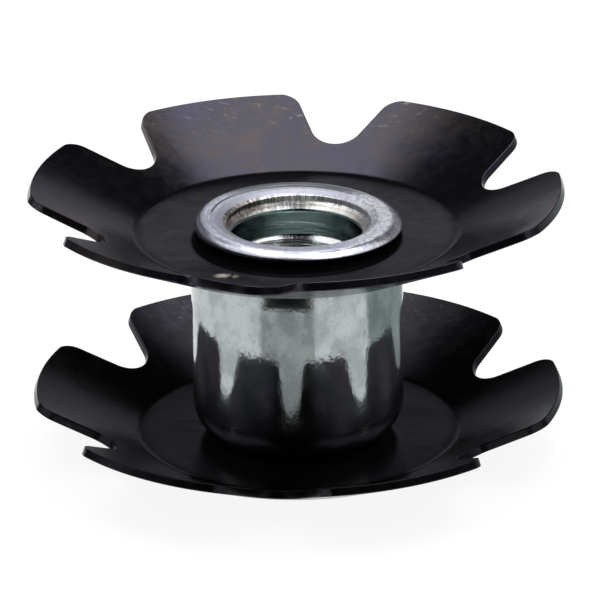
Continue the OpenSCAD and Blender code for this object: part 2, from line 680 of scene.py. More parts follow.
class ZincCoat(Graph):
    """Node tree of the zinc plate, with the masks and noises that its tone, gloss and relief share."""

    def __init__(self, tree: bpy.types.NodeTree, plate: ZincPlate, zones: BarrelZones) -> None:
        """Adds the masks of the barrel's parts, then the noises, then the marks.

        Args:
            tree: Node tree to build in.
            plate: Colours and sizes of the finish.
            zones: Where the parts of the barrel lie.
        """
        super().__init__(tree)
        self.plate, self.zones = plate, zones
        place = self.millimetres()
        self.radius, self.turn, self.height = self.around_bore(place)
        self.away = self.maths("ABSOLUTE", self.maths("SUBTRACT", self.height, zones.middle_z))
        self.on_rim = self.past_rim(-0.02, 0.02)
        self.in_bore = self.band(self.radius, zones.bore_r, zones.bore_r - 0.06)
        self.in_mouth = self.band(self.radius, zones.mouth_r, zones.mouth_r - 0.12)
        self.on_roll = self.band(self.radius, zones.roll_r - 0.15, zones.roll_r + 0.1)
        foot_z, top_z = zones.middle_z - zones.rim_z, zones.middle_z + zones.rim_z
        self.at_foot = self.band(self.height, foot_z + 3.5, foot_z + 2.5)
        self.on_shoulder = self.band(self.height, top_z - 2.3, top_z - 1.7)

        drawn = self.stretched(place, (1.0, 1.0, 0.6))
        self.streaks = self.noise(self.stretched(place, (1.0, 1.0, 0.7)), 1.0, 4.0, 0.6)
        self.mottle = self.band(self.streaks, 0.38, 0.64)
        self.peel = self.noise(drawn, 0.9, 1.0)
        self.grain = self.noise(drawn, 6.5, 2.0, 0.5)
        self.fine = self.noise(place, 9.0, 3.0, 0.6)
        self.dents = self.noise(place, 4.5, 3.0, 0.6)
        self.specks = self.band(self.noise(place, 7.0, 2.0, 0.5), 0.62, 0.72)
        self.ticks = self.noise(self.wrapped(place, 26.0, 0.8), 1.0, 3.0, 0.7)
        self.turned = self.noise(self.wrapped(place, 1.2, 9.0), 1.0, 2.0, 0.6)

        press = self.product(self.line(self.radius, plate.press_r, 0.07), self.side(plate.press_side))
        breaks = self.band(self.noise(self.wrapped(place, 2.2, 0.0), 1.0), 0.38, 0.58)
        groove = self.product(self.line(self.radius, plate.edge_r, 0.09), breaks)
        self.marks = self.larger(press, self.product(groove, plate.groove_share))
        # Painted glints on the lower shoulder, in place of reflections in its rounding
        first, second = (self.spot(place, middle, size) for middle, size in plate.painted_glints)
        patchy = self.band(self.fine, 0.38, 0.66, 0.0, 0.8)
        self.painted_glint_mask = self.product(self.larger(first, second), patchy)

    def side(self, sector: Range) -> Socket:
        """Picks out one side of the barrel."""
        return self.sector(self.turn, *sector)

    def past_rim(self, none: float, full: float) -> Socket:
        """Picks out what lies past the start of a rim, between two heights above it."""
        return self.band(self.away, self.zones.rim_z + none, self.zones.rim_z + full)

    def skin_tone(self) -> Socket:
        """Colours the side of the barrel: mottled, speckled, darker at its foot by painted shade, with
        painted glints on the lower shoulder.

        Returns:
            The colour.
        """
        plate = self.plate
        tone = self.blend(self.mottle, plate.colour, plate.dull_colour)
        tone = self.blend(self.product(self.specks, 0.4), tone, plate.grime_and_shade_colour)
        # Painted shade at the foot, where the barrel meets the lower star, in streaks
        painted_shade = self.product(self.at_foot, self.band(self.streaks, 0.62, 0.5, 0.2, 0.6))
        tone = self.blend(painted_shade, tone, plate.grime_and_shade_colour)
        return self.blend(self.painted_glint_mask, tone, plate.painted_glint_colour)

    def rim_tone(self) -> Socket:
        """Colours the rims: dull in the dents and the turning marks, stained on part of the crown, and
        lightened on one side by painted light.

        Returns:
            The colour.
        """
        plate = self.plate
        dented = self.band(self.dents, 0.60, 0.42, 0.0, 0.45)
        tone = self.blend(dented, plate.rim_colour, plate.rim_dull_colour)
        tone = self.blend(self.product(self.specks, 0.5), tone, plate.grime_and_shade_colour)
        tone = self.blend(self.band(self.turned, 0.44, 0.60, 0.0, 0.5), tone, plate.rim_dull_colour)
        on_crown = self.product(self.band(self.radius, 3.8, 3.92),
                                self.band(self.radius, 4.5, 4.3, 0.0, 0.9))
        stain = self.product(self.product(self.side(plate.stain_side), on_crown),
                             self.band(self.turned, 0.35, 0.55, 0.75, 1.0))
        tone = self.blend(stain, tone, plate.stain_colour)
        tone = self.blend(self.band(self.radius, 3.9, 3.7, 0.0, 0.7), tone, plate.rim_dull_colour)
        # Painted light: one side of the rims is made lighter
        painted_light = self.product(self.side(plate.painted_light_side), self.band(self.dents, 0.38, 0.56, 0.1, 0.6))
        tone = self.blend(painted_light, tone, plate.rim_painted_light_colour)
        return self.blend(self.marks, tone, plate.grime_and_shade_colour)

    def mouth_tone(self) -> Socket:
        """Colours the mouth inside a rim: torn skin, grime in the tears, and painted shade on the upright
        wall beneath the lip.

        Returns:
            The colour.
        """
        plate, clean = self.plate, self.side(self.plate.clean_side)
        in_ticks = self.mix(self.past_rim(0.08, 0.16), self.mix(clean, 0.45, 0.85), 0.12)
        in_dents = self.mix(clean, 0.35, 0.9)
        whole = self.product(self.band(self.ticks, 0.42, 0.56, in_ticks, 1.0),
                             self.band(self.dents, 0.40, 0.54, in_dents, 1.0))
        whole = self.product(whole, self.band(self.specks, 0.0, 1.0, 1.0, 0.15))
        skin = self.blend(self.side(plate.warm_side), plate.mouth_colour, plate.warm_colour)
        tone = self.blend(whole, plate.grime_and_shade_colour, skin)
        # Painted shade on the upright wall beneath the lip
        wall = self.product(self.past_rim(0.40, 0.34), self.past_rim(0.12, 0.18))
        return self.blend(self.product(wall, 0.6), tone, plate.grime_and_shade_colour)

    def bore_tone(self) -> Socket:
        """Colours the counterbore and the thread, with a painted dark reflection at the back of the
        thread's chamfer.

        Returns:
            The colour.
        """
        plate, thread_z = self.plate, self.zones.thread_z
        in_thread = self.band(self.away, thread_z + 0.05, thread_z - 0.05)
        on_chamfer = self.band(self.away, thread_z - 0.58, thread_z - 0.5)
        # Painted dark reflection on the back of the thread's chamfer
        painted_reflection = self.product(self.side(plate.painted_reflection_side), on_chamfer)
        thread = self.blend(painted_reflection, plate.thread_colour, plate.grime_and_shade_colour)
        return self.blend(in_thread, plate.bore_colour, thread)

    def tone(self) -> Socket:
        """Colours the whole barrel, with painted shade beneath the outer edge of the rims.

        Returns:
            The colour.
        """
        plate, roll_r = self.plate, self.zones.roll_r
        tone = self.blend(self.on_rim, self.skin_tone(), self.rim_tone())
        tone = self.blend(self.in_mouth, tone, self.mouth_tone())
        tone = self.blend(self.in_bore, tone, self.bore_tone())
        # Painted shade on the underside of the rolled edge, on the front side
        outer = self.product(self.on_rim, self.band(self.radius, roll_r - 0.2, roll_r - 0.1))
        painted_shade_under_roll = self.product(self.past_rim(0.32, 0.26), outer)
        painted_shade_under_roll = self.product(painted_shade_under_roll, self.side(plate.painted_shade_side))
        return self.blend(painted_shade_under_roll, tone, plate.painted_shade_colour)

    def roughness(self) -> Socket:
        """Sets the gloss of each part of the barrel.

        Returns:
            The roughness.
        """
        plate = self.plate
        rough = self.band(self.mottle, 0.0, 1.0, plate.polish, plate.satin)
        for where, value in (
            (self.larger(self.on_shoulder, self.at_foot), plate.shoulder_satin),
            (self.painted_glint_mask, plate.painted_glint_satin),
            (self.on_rim, self.mix(self.on_roll, plate.rim_satin, plate.roll_polish)),
            (self.in_mouth, plate.mouth_satin),
            (self.in_bore, plate.bore_polish),
        ):
            rough = self.mix(where, rough, value)
        return rough

    def relief(self) -> Socket:
        """Adds the relief of each part of the barrel.

        Returns:
            The normal.
        """
        plate = self.plate
        skin = self.maths("SUBTRACT", 1.0, self.on_rim)
        dented = self.product(self.on_rim, self.band(self.on_roll, 0.0, 1.0, 1.0, 0.4))
        lathed = self.larger(self.in_bore, self.product(self.on_rim, 0.5))
        normal: Socket | None = None
        for noise, where, depth in (
            (self.peel, skin, plate.peel_depth),
            (self.grain, self.mix(self.at_foot, skin, plate.foot_grain), plate.grain_depth),
            (self.dents, dented, plate.dent_depth),
            (self.fine, self.band(self.on_rim, 0.0, 1.0, 0.08, 1.0), plate.fine_depth),
            (self.ticks, self.in_mouth, plate.tick_depth),
            (self.turned, lathed, plate.turned_depth),
        ):
            normal = self.bump(self.product(noise, where), depth, normal)
        return self.bump(self.maths("SUBTRACT", 1.0, self.marks), plate.mark_depth, normal)


@dataclass(frozen=True)
class BlackSpringSteel:
    """Black oxide on sprung sheet: a dark, semi-gloss skin with a faint heat tint and small scuffs.

    The oxide is made as a dark metal, so that its tint shows in what it reflects.

    Attributes:
        name: Name of the material.
        black: Colour of the oxide on the petals.
        flat_black: Its colour on the flat middle.
        brown: Warm colour of the heat tint.
        violet: Cool colour of the heat tint.
        bare: Colour of the steel where the oxide is scuffed.
        worn_colour: Colour of the worn spot.
        grime_and_shade_colour: Colour of the painted shade beside the rim and in the bend.
        tint: Strength of the heat tint, from 0 to 1.
        scuffs: Strength of the small scuffs near the tips of the petals, from 0 to 1.
        scuff_reach: Distances from the tips at which the scuffs begin and are full, in millimetres.
        worn: Middle of a spot that is rubbed bare, in millimetres, or nothing.
        worn_size: Size of that spot.
        worn_satin: Its roughness.
        painted_shade: Strength of the painted shade beside the barrel's rim, from 0 to 1.
        painted_shade_middle: Middle of that painted shade, which lies to one side of the rim.
        painted_shade_r: Its radius.
        front_side: Middle and half angle of the side that is a little darker, in degrees.
        front_painted_shade: Strength of the painted shade there.
        bend_painted_shade: Strength of the painted shade in the bend.
        edge_shine: Share of its shine that is left where it is seen at a flat angle.
        flat_satin: Roughness of the flat middle.
        petal_gloss: Roughness of the petals.
        metal: How metal-like it is, from 0 to 1.
        grain_depth: Relief of its grain, in millimetres.
        wave_depth: Relief of the sheet's slight waves.
    """

    name: str
    black: Colour = (0.032, 0.031, 0.041, 1.0)
    flat_black: Colour = (0.064, 0.062, 0.076, 1.0)
    brown: Colour = (0.047, 0.038, 0.039, 1.0)
    violet: Colour = (0.034, 0.031, 0.050, 1.0)
    bare: Colour = (0.16, 0.145, 0.13, 1.0)
    worn_colour: Colour = (0.86, 0.78, 0.66, 1.0)
    grime_and_shade_colour: Colour = (0.006, 0.006, 0.008, 1.0)
    tint: float = 0.8
    scuffs: float = 0.5
    scuff_reach: Range = (3.2, 0.9)
    worn: Point | None = None
    worn_size: float = 0.46
    worn_satin: float = 0.5
    painted_shade: float = 0.85
    painted_shade_middle: Range = (0.24, -1.22)
    painted_shade_r: float = 4.88
    front_side: Range = (-86.0, 38.0)
    front_painted_shade: float = 0.3
    bend_painted_shade: float = 0.12
    edge_shine: float = 1.0
    flat_satin: float = 0.20
    petal_gloss: float = 0.20
    metal: float = 0.9
    grain_depth: float = 0.0008
    wave_depth: float = 0.03

    def painted_shade_mask(self, graph: Graph, place: Socket, flat_r: float) -> Socket:
        """Picks out the painted shade beside the barrel's rim and in the bend.

        Args:
            graph: Node tree of the material.
            place: Position in millimetres.
            flat_r: Radius of the flat middle.

        Returns:
            The mask.
        """
        radius, turn, _ = graph.around_bore(place)
        front = graph.product(graph.sector(turn, *self.front_side),
                              graph.band(radius, flat_r - 0.05, flat_r - 0.85, 0.0, self.front_painted_shade))
        beside_rim = graph.larger(graph.round_area(place, self.painted_shade_middle, self.painted_shade_r), front)
        in_bend = graph.product(graph.line(radius, flat_r - 0.12, 0.32), self.bend_painted_shade)
        return graph.larger(graph.product(beside_rim, self.painted_shade), in_bend)

    def material(self, flat_r: float, rim_r: float) -> bpy.types.Material:
        """Makes the material.

        Args:
            flat_r: Radius of the flat middle, outside which the petals begin.
            rim_r: Radius of the tips of the petals.

        Returns:
            The material.
        """
        made, tree = new_material(self.name)
        graph = Graph(tree)
        place = graph.millimetres()
        radius = graph.around_bore(place)[0]
        on_petals = graph.band(radius, flat_r - 0.65, flat_r + 0.1)
        clouds = graph.noise(place, 0.22, 3.0, 0.5, 0.4)
        flecks = graph.noise(place, 1.5, 4.0, 0.62, 0.8)
        hue = graph.maths("ADD", graph.product(clouds, 0.6), graph.product(flecks, 0.4))
        painted_shade_mask = self.painted_shade_mask(graph, place, flat_r)
        combed = graph.stretched(place, (1.0, 3.2, 1.0), (0.0, 0.0, 25.0))
        hairs = graph.noise(combed, 1.9, 2.0, 0.6, 1.2)
        near_tips = graph.band(radius, *(rim_r - reach for reach in self.scuff_reach))
        scuffed = graph.product(graph.band(hairs, 0.62, 0.72), near_tips)

        tone = graph.blend(on_petals, self.flat_black, self.black)
        for start, end, colour in ((0.47, 0.62, self.brown), (0.50, 0.38, self.violet)):
            tinted = graph.product(graph.band(hue, start, end), on_petals)
            tone = graph.blend(graph.product(tinted, self.tint), tone, colour)
        # Painted shade and dark reflection beside the rim, on the front of the flat and in the bend
        tone = graph.blend(painted_shade_mask, tone, self.grime_and_shade_colour)
        tone = graph.blend(graph.product(scuffed, self.scuffs), tone, self.bare)
        rough = graph.maths("ADD", graph.mix(on_petals, self.flat_satin, self.petal_gloss),
                            graph.band(flecks, 0.3, 0.7, -0.03, 0.04))
        if self.worn is not None:
            near_spot = graph.spot(graph.stretched(place, (0.6, 1.0, 1.0)), self.worn, self.worn_size)
            rubbed = graph.product(near_spot, graph.band(graph.noise(place, 1.9, 3.0), 0.34, 0.60))
            tone = graph.blend(rubbed, tone, self.worn_colour)
            rough = graph.mix(rubbed, rough, self.worn_satin)

        grain = graph.bump(graph.noise(place, 5.0, 2.0, 0.5), self.grain_depth)
        relief = graph.bump(clouds, self.wave_depth, grain)
        shader = graph.finish_metal("black oxide", tone, rough, relief, self.metal)
        # Within the painted shade the reflection is taken away too
        edge = (self.edge_shine, self.edge_shine, self.edge_shine, 1.0)
        graph.join(graph.blend(painted_shade_mask, edge, BLACK), shader.inputs["Specular Tint"])
        return made


# ---------------------------------------------------------------- the nut


@dataclass(frozen=True)
class EdgeCorner:
    """A corner of a star's outline on one of its faces.

    Attributes:
        index: Its index in the surface.
        run: Distance outwards along the upper face.
        turn: Angle about the bore, in radians.
        out: Direction out of the sheet within its face, as radial and tangential parts.
    """

    index: int
    run: float
    turn: float
    out: Range


@dataclass
class SpringStar:
    """A star of sprung sheet: a flat middle, a bend, and petals that flare upwards.

    Attributes:
        node: The solid that it replaces.
        bottom_z: Height of its lower face.
        turn: Turn about the bore, in degrees.
        finish: Its finish.
        star_d: Diameter over the petals.
        flat_d: Diameter of the flat middle, at the bend.
        sheet_t: Thickness of the sheet.
        flare_angle: Rise of the petals, in degrees.
        bend_r: Radius inside the bend.
        petals: Number of petals.
        petal_w: Width of a petal.
        gap_root_r: Radius at the root of a gap.
        petal_corner_r: Radius of a petal's outer corners.
        corner_cross: How far a corner's rounding passes the rim, which keeps the cut clean.
        hole_d: Diameter of the hole for the barrel's neck.
        arris_r: Rounding of the cut edges.
        arris_steps: Steps of that rounding.
        columns: Columns of faces across a petal.
    """

    node: Node
    bottom_z: float
    turn: float
    finish: BlackSpringSteel
    star_d: float = 24.9
    flat_d: float = 15.1
    sheet_t: float = 0.4
    flare_angle: float = 25.7
    bend_r: float = 0.8
    petals: int = 6
    petal_w: float = 8.0
    gap_root_r: float = 1.28
    petal_corner_r: float = 1.06
    corner_cross: float = 0.02
    hole_d: float = 7.5
    arris_r: float = 0.05
    arris_steps: int = 3
    columns: int = 28

    def __post_init__(self) -> None:
        """Works out the sizes that follow from the driving ones."""
        self.flare = math.radians(self.flare_angle)
        self.bend_x = self.flat_d / 2 - self.bend_r * math.tan(self.flare / 2)
        self.bend_len = self.bend_r * self.flare
        flare_x = self.bend_x + self.bend_r * math.sin(self.flare)
        top_edge_r = self.star_d / 2 - self.sheet_t * math.sin(self.flare)
        # Slant distances run along the upper face from the tip of the flare's cone
        self.slant_shift = flare_x / math.cos(self.flare) - self.bend_x - self.bend_len
        self.rim_slant = top_edge_r / math.cos(self.flare)
        self.half_turn = math.pi / self.petals
        self.half_pitch = self.half_turn * math.cos(self.flare)

    def section(self, run: float) -> Point:
        """Follows the upper face of the sheet outwards from the bore.

        Args:
            run: Distance along the face.

        Returns:
            Radius, height above the flat middle, and slope in radians.
        """
        if run <= self.bend_x:
            return run, 0.0, 0.0
        bent = min((run - self.bend_x) / self.bend_r, self.flare)
        rest = max(run - self.bend_x - self.bend_len, 0.0)
        radius = self.bend_x + self.bend_r * math.sin(bent) + rest * math.cos(self.flare)
        height = self.bend_r * (1 - math.cos(bent)) + rest * math.sin(self.flare)
        return radius, height, bent

    def place(self, run: float, turn: float, depth: float) -> np.ndarray:
        """Finds a point of the sheet.

        Args:
            run: Distance outwards along the upper face.
            turn: Angle about the bore, in radians.
            depth: Distance below the upper face, square to the sheet.

        Returns:
            The point, in millimetres.
        """
        radius, height, slope = self.section(run)
        radius += depth * math.sin(slope)
        height += self.sheet_t - depth * math.cos(slope)
        turn += math.radians(self.turn)
        return np.array([radius * math.cos(turn), radius * math.sin(turn), self.bottom_z + height])

    def facing(self, run: float, turn: float, out: Range, lean: float) -> np.ndarray:
        """Finds the shading normal at a point of the sheet.

        Args:
            run: Distance outwards along the upper face.
            turn: Angle about the bore, in radians.
            out: Direction out of the sheet within its face, as radial and tangential parts.
            lean: Angle of the normal from the upper face's own normal towards out.

        Returns:
            The unit normal.
        """
        slope = self.section(run)[2]
        turn += math.radians(self.turn)
        radial = np.array([math.cos(turn), math.sin(turn), 0.0])
        along = radial * math.cos(slope) + np.array([0.0, 0.0, math.sin(slope)])
        across = np.array([-math.sin(turn), math.cos(turn), 0.0])
        side = along * out[0] + across * out[1]
        return np.cross(along, across) * math.cos(lean) + side * math.sin(lean)

    def on_cone(self, x: float, y: float) -> Range:
        """Finds where a point of a gap's flat outline meets the flare.

        Args:
            x: Distance from the tip, along the middle of the gap.
            y: Distance from the middle of the gap.

        Returns:
            Slant distance from the tip, and angle about the bore from the middle of the gap.
        """
        cos_f, sin_f = math.cos(self.flare), math.sin(self.flare)
        slant, turn = math.hypot(x, y), 0.0
        for _ in range(30):
            turn = math.asin(max(-1.0, min(1.0, y / (slant * cos_f))))
            slant = x / (cos_f**2 * math.cos(turn) + sin_f**2)
        return slant, turn

    def flat_outline(self) -> list[np.ndarray]:
        """Draws one side of a gap on the unrolled flare, with the middle of the gap along x.

        Returns:
            Points from the gap's root, past the petal's straight side, round its outer corner.
        """
        side_y = -self.petal_w / 2
        root_y = side_y - self.gap_root_r
        root_x = -root_y / math.tan(self.half_pitch)
        root_slant = -root_y / math.sin(self.half_pitch)
        corner_y = side_y + self.petal_corner_r
        reach = self.rim_slant - self.petal_corner_r + self.corner_cross
        corner_x = math.sqrt(reach**2 - corner_y**2)
        cos_p, sin_p = math.cos(self.half_pitch), math.sin(self.half_pitch)
        spin = np.array([[cos_p, -sin_p], [sin_p, cos_p]])

        root = [np.array([root_slant + self.gap_root_r * math.cos(angle),
                          self.gap_root_r * math.sin(angle)])
                for angle in np.linspace(math.pi, math.pi / 2 + self.half_pitch, 19)]
        straight = [spin @ np.array([x, side_y]) for x in np.linspace(root_x, corner_x, 9)[1:]]
        corner = [spin @ (np.array([corner_x, corner_y])
                          + self.petal_corner_r * np.array([math.cos(angle), math.sin(angle)]))
                  for angle in np.radians(np.linspace(-90, 60, 61)[1:])]
        return root + straight + corner

    def petal_side(self) -> list[Range]:
        """Rolls one side of a gap onto the flare and ends it at the rim.

        Returns:
            Points as distance along the upper face and angle from the petal's middle.
        """
        on_flare: list[Range] = []
        for x, y in self.flat_outline():
            slant, turn = self.on_cone(float(x), float(y))
            past_rim = slant >= self.rim_slant
            if past_rim:
                last_slant, last_turn = on_flare[-1]
                share = (self.rim_slant - last_slant) / (slant - last_slant)
                slant, turn = self.rim_slant, last_turn + (turn - last_turn) * share
            on_flare.append((slant, turn))
            if past_rim:
                break
        return [(slant - self.slant_shift, self.half_turn - turn) for slant, turn in on_flare]

    def outward(self, outline: list[Range]) -> list[Range]:
        """Finds the directions out of the sheet along a petal's side.

        Args:
            outline: Points of the side.

        Returns:
            Unit directions as radial and tangential parts, on the side of positive angles.
        """
        found: list[Range] = []
        last = len(outline) - 1
        for i in range(last + 1):
            (run_a, turn_a), (run_b, turn_b) = outline[max(i - 1, 0)], outline[min(i + 1, last)]
            along, across = run_b - run_a, (turn_b - turn_a) * self.section(outline[i][0])[0]
            size = math.hypot(along, across)
            found.append((-across / size, along / size))
        found[0] = found[last] = (1.0, 0.0)
        return found

    def row(self, surface: Surface, run: float, turns: list[float], lower: bool) -> list[int]:
        """Adds a row of corners at one distance from the bore.

        Args:
            surface: The star's surface.
            run: Distance outwards along the upper face.
            turns: Angles about the bore, in radians.
            lower: Whether it is on the lower face.

        Returns:
            The corners.
        """
        depth, lean = (self.sheet_t, math.pi) if lower else (0.0, 0.0)
        return [surface.add(self.place(run, turn, depth), self.facing(run, turn, (1.0, 0.0), lean))
                for turn in turns]

    def middle_rings(self, surface: Surface, root_run: float, lower: bool) -> list[list[int]]:
        """Adds the closed middle of one face: the flat, the bend and the start of the flare.

        Args:
            surface: The star's surface.
            root_run: Distance along the upper face at which the gaps begin.
            lower: Whether it is the lower face.

        Returns:
            Its rings of corners, from the hole outwards.
        """
        bend_end = self.bend_x + self.bend_len
        runs = [*np.linspace(self.hole_d / 2, self.bend_x, 9),
                *np.linspace(self.bend_x, bend_end, 9)[1:],
                *np.linspace(bend_end, root_run, 8)[1:]]
        turns = [(2 * i / self.columns - 1) * self.half_turn for i in range(self.petals * self.columns)]
        rings = [self.row(surface, run, turns, lower) for run in runs]
        for inner, outer in zip(rings, rings[1:]):
            surface.bridge(*((inner, outer) if lower else (outer, inner)), closed=True)
        return rings

    def petal(self, surface: Surface, number: int, root_ring: list[int],
              side: list[tuple[Range, Range]], lower: bool) -> list[EdgeCorner]:
        """Adds one face of a petal, from the closed middle out to the rim.

        Args:
            surface: The star's surface.
            number: Which petal it is, counted from the first one.
            root_ring: Outermost ring of the closed middle.
            side: Points of the petal's side, each with its direction out of the sheet.
            lower: Whether it is the lower face.

        Returns:
            Its outline, from the gap before it round to the gap after it.
        """
        middle, start = 2 * number * self.half_turn, number * self.columns
        shares = [2 * i / self.columns - 1 for i in range(self.columns + 1)]
        row = [root_ring[(start + i) % len(root_ring)] for i in range(self.columns + 1)]
        run, turn = side[0][0][0] - self.arris_r, self.half_turn
        before, after = [EdgeCorner(row[0], run, middle - turn, (1.0, 0.0))], []
        for (side_run, side_turn), (out_run, out_turn) in side[1:]:
            run = side_run - self.arris_r * out_run
            turn = side_turn - self.arris_r * out_turn / self.section(run)[0]
            outer = self.row(surface, run, [middle + turn * share for share in shares], lower)
            surface.bridge(*((row, outer) if lower else (outer, row)))
            before.append(EdgeCorner(outer[0], run, middle - turn, (out_run, -out_turn)))
            after.append(EdgeCorner(outer[-1], run, middle + turn, (out_run, out_turn)))
            row = outer
        rim = [EdgeCorner(index, run, middle + turn * share, (1.0, 0.0))
               for index, share in zip(row[1:-1], shares[1:-1])]
        return before + rim + after[::-1]

    def round_edge(self, surface: Surface, upper: list[EdgeCorner], lower: list[EdgeCorner]) -> None:
        """Closes the cut edge between the two faces, with a rounding along each.

        Args:
            surface: The star's surface.
            upper: Outline of the upper face.
            lower: Outline of the lower face.
        """
        leans = np.linspace(0, math.pi / 2, self.arris_steps + 1)
        rings = [(self.arris_r * (1 - math.cos(lean)), lean) for lean in leans[1:]]
        rings += [(self.sheet_t - self.arris_r * (1 - math.sin(lean)), lean + math.pi / 2)
                  for lean in leans[:-1]]
        previous = [corner.index for corner in upper]
        for depth, lean in rings:
            out_by = self.arris_r * math.sin(lean)
            ring = []
            for corner in upper:
                run = corner.run + out_by * corner.out[0]
                turn = corner.turn + out_by * corner.out[1] / self.section(corner.run)[0]
                ring.append(surface.add(self.place(run, turn, depth),
                                        self.facing(run, turn, corner.out, lean)))
            surface.bridge(ring, previous, closed=True)
            previous = ring
        surface.bridge([corner.index for corner in lower], previous, closed=True)

    def build(self) -> bpy.types.Object:
        """Builds the sheet with both faces and its rounded cut edges.

        Returns:
            The piece.
        """
        surface = Surface()
        outline = self.petal_side()
        side = list(zip(outline, self.outward(outline)))
        holes, outlines = [], []
        for lower in (False, True):
            rings = self.middle_rings(surface, outline[0][0] - self.arris_r, lower)
            holes.append(rings[0])
            outlines.append([corner for number in range(self.petals)
                             for corner in self.petal(surface, number, rings[-1], side, lower)])
        surface.bridge(*holes, closed=True)
        self.round_edge(surface, *outlines)
        return surface.to_object(self.node.value + "_sheet")

    def make(self) -> bpy.types.Object:
        """Builds the star, dresses it and puts it in its solid's place.

        Returns:
            The piece.
        """
        piece = self.build()
        piece.data.materials.append(self.finish.material(self.flat_d / 2, self.star_d / 2))
        return settle(piece, self.node)


@dataclass
class ThreadedBarrel:
    """The barrel: a plain tube with an M6 thread, riveted over a star at each end.

    Attributes:
        finish: Its finish.
        barrel_d: Outer diameter between the stars.
        barrel_z: Height of the lower star's upper face.
        barrel_len: Length between the stars.
        shoulder_h: Height of the rounded shoulder at each end.
        seat_d: Diameter of the flat seat that carries a star.
        neck_d: Diameter of the neck through a star.
        sheet_t: Thickness of a star.
        rim_d: Diameter of a rolled rim.
        rim_h: Height of a rim above its star.
        edge_squash: Height of a rim's round edge, as a share of a full round.
        dome_w: Width of the dome from a rim's flat crown to its outer edge.
        dome_angle: Slope of the dome at that edge, in degrees.
        crown_d: Inner diameter of a rim's flat crown.
        lip_d: Diameter of the lip inside a rim.
        lip_drop: Drop from the crown to the lip.
        lip_h: Height of the upright wall beneath the lip.
        skin_r: Rounding of the crisp edge between a rim's side and its dome.
        bevel_r: Rounding between the crown and the bevel.
        lip_r: Rounding of the lip.
        wall_r: Rounding at the foot of the upright wall.
        counterbore_d: Diameter of the counterbore above the thread.
        counterbore_h: Depth of the counterbore below the lip.
        thread_d: Diameter at the roots of the thread.
        bore_d: Diameter at the crests of the thread.
        pitch: Pitch of the thread.
        crest: Half the width of a crest, as a share of the pitch.
        flank: Width of a flank, as a share of the pitch.
        flank_rows: Rows of faces on a flank.
        thread_start: Turn at which the thread starts, in degrees.
        high_side: Direction in which the upper rim's edge is rolled least tightly, in degrees from +X.
        unevenness: Share by which its edge stands higher there, and lower on the far side.
        looseness: Share by which its edge stands higher all round.
        off_centre: How far the upper rim is rolled away from that side.
        shift_h: Height above the star over which that shift sets in.
        segments: Columns round the barrel.
    """

    finish: ZincPlate = field(default_factory=ZincPlate)
    barrel_d: float = 9.9
    barrel_z: float = 1.0
    barrel_len: float = 9.55
    shoulder_h: float = 1.6
    seat_d: float = 7.86
    neck_d: float = 7.4
    sheet_t: float = 0.4
    rim_d: float = 9.64
    rim_h: float = 0.6
    edge_squash: float = 0.9
    dome_w: float = 0.65
    dome_angle: float = 45.0
    crown_d: float = 7.44
    lip_d: float = 6.72
    lip_drop: float = 0.2
    lip_h: float = 0.25
    skin_r: float = 0.05
    bevel_r: float = 0.3
    lip_r: float = 0.05
    wall_r: float = 0.03
    counterbore_d: float = 6.0
    counterbore_h: float = 1.8
    thread_d: float = 6.07
    bore_d: float = 5.0
    pitch: float = 1.0
    crest: float = 1 / 8
    flank: float = 5 / 16
    flank_rows: int = 5
    thread_start: float = 97.0
    high_side: float = 180.0
    unevenness: float = 0.28
    looseness: float = 0.2
    off_centre: float = 0.12
    shift_h: float = 0.25
    segments: int = 160

    def __post_init__(self) -> None:
        """Works out the heights that follow from the driving sizes."""
        self.top_z = self.barrel_z + self.barrel_len
        self.star_top = self.top_z + self.sheet_t
        self.crown_z = self.star_top + self.rim_h
        self.middle_z = self.crown_z / 2
        self.chamfer_start = self.lip_drop + self.lip_h
        self.counterbore_end = self.lip_drop + self.counterbore_h
        # The thread's rows begin where the chamfer is just wider than the thread's roots
        margin = 0.02
        self.rows_depth = self.chamfer_start + (self.lip_d - self.thread_d) / 2 - margin

    def mouth_r(self, depth: float) -> float:
        """Finds the radius of the mouth below the lip's upright wall.

        Args:
            depth: Distance below the crown.

        Returns:
            The radius of the chamfer, the counterbore, the thread's own chamfer or the bore.
        """
        lip_r, counterbore_r, bore_r = self.lip_d / 2, self.counterbore_d / 2, self.bore_d / 2
        depths = (self.chamfer_start, self.chamfer_start + lip_r - counterbore_r,
                  self.counterbore_end, self.counterbore_end + counterbore_r - bore_r)
        return float(np.interp(depth, depths, (lip_r, counterbore_r, counterbore_r, bore_r)))

    def half_section(self) -> list[Range]:
        """Draws the upper half of the outline, from the middle of the barrel round to the thread.

        Returns:
            Points as radius and height.
        """
        barrel_r, neck_r, rim_r, edge_r = self.barrel_d / 2, self.neck_d / 2, self.rim_d / 2, self.rim_h / 2
        run = barrel_r - self.seat_d / 2
        shoulder_r = (run**2 + self.shoulder_h**2) / (2 * run)
        shoulder_turn = math.asin(self.shoulder_h / shoulder_r)
        shoulder_z = self.top_z - self.shoulder_h
        slope = math.radians(self.dome_angle)
        dome_r = self.dome_w / math.sin(slope)
        crown, lip = (self.crown_d / 2, self.crown_z), (self.lip_d / 2, self.crown_z - self.lip_drop)
        wall_foot = (lip[0], self.crown_z - self.chamfer_start)
        mouth = (self.mouth_r(self.rows_depth), self.crown_z - self.rows_depth)

        points = [(barrel_r, z) for z in np.linspace(self.middle_z, shoulder_z, 13)]
        points += [(barrel_r - shoulder_r * (1 - math.cos(a)), shoulder_z + shoulder_r * math.sin(a))
                   for a in np.linspace(0, shoulder_turn, 13)[1:]]
        points += [(neck_r, self.top_z), (neck_r, self.star_top)]
        points += [(rim_r - edge_r * (1 - math.cos(a)),
                    self.star_top + self.edge_squash * edge_r * (1 + math.sin(a)))
                   for a in np.radians(np.linspace(-90, 0, 9))]
